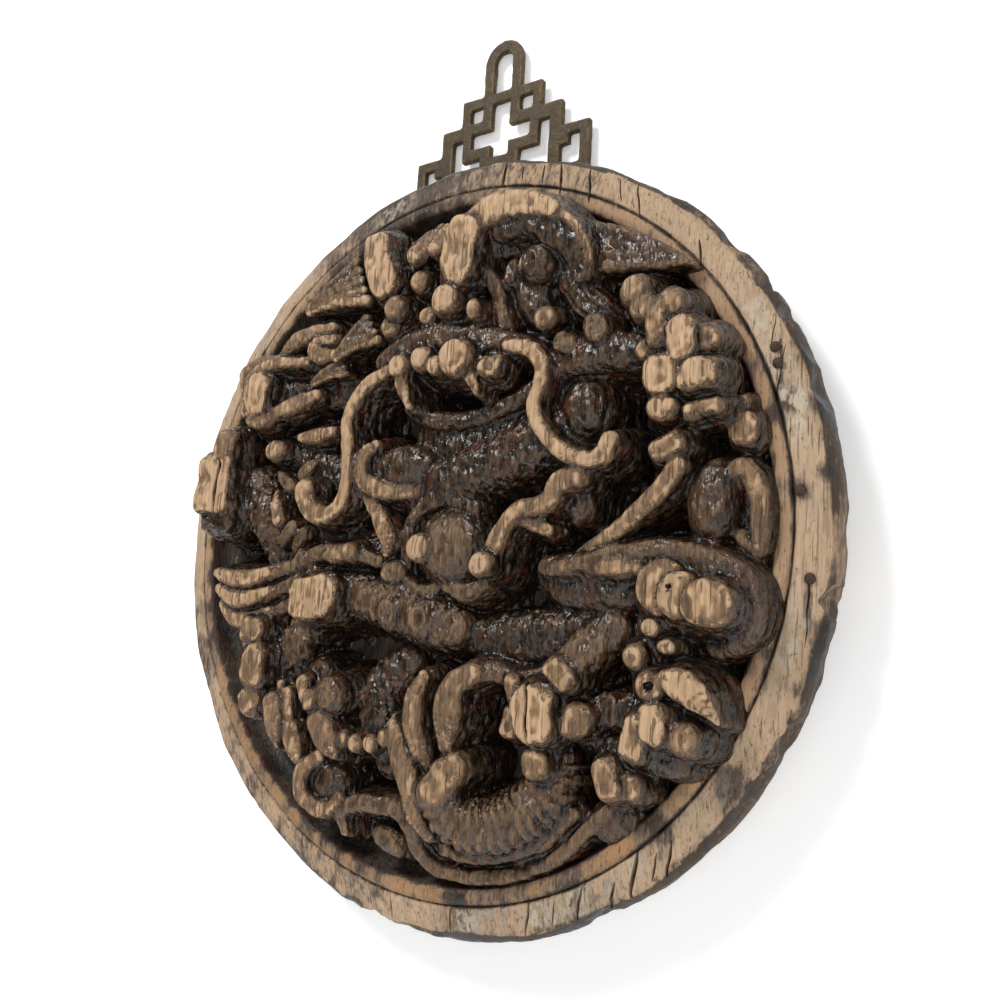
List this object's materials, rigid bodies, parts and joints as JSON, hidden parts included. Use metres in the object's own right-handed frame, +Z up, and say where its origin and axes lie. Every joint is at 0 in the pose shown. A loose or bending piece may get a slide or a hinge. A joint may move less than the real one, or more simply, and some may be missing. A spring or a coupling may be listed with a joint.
{
  "type": "carved wood panel",
  "caption": "Round carved wood relief panel of a dragon among clouds and waves, with a raised rim and an openwork metal hanger whose loop hangs on a hook.",
  "frame": {"origin": "the lowest face of the crown of the hanger's loop, where a hook takes the weight, halfway through the plate", "axes": "+Z up, +Y from the carved front towards the wall, +X to the right as the front is seen"},
  "size_m": [0.5687, 0.0954, 0.696],
  "materials": {
    "lacquered_wood": "old dark lacquer worn through to bare tan wood on the high points",
    "aged_bronze": "dull brown patina, rubbed paler on the edges",
    "rusty_iron": "dark rust"
  },
  "bodies": {
    "root": {"carved_panel": "lacquered_wood", "hanger": "aged_bronze", "rim_nail_1": "rusty_iron", "rim_nail_2": "rusty_iron", "rim_nail_3": "rusty_iron", "rim_nail_4": "rusty_iron", "hanger_nail_1": "rusty_iron", "hanger_nail_2": "rusty_iron", "hanger_nail_3": "rusty_iron"}
  },
  "joints": []
}
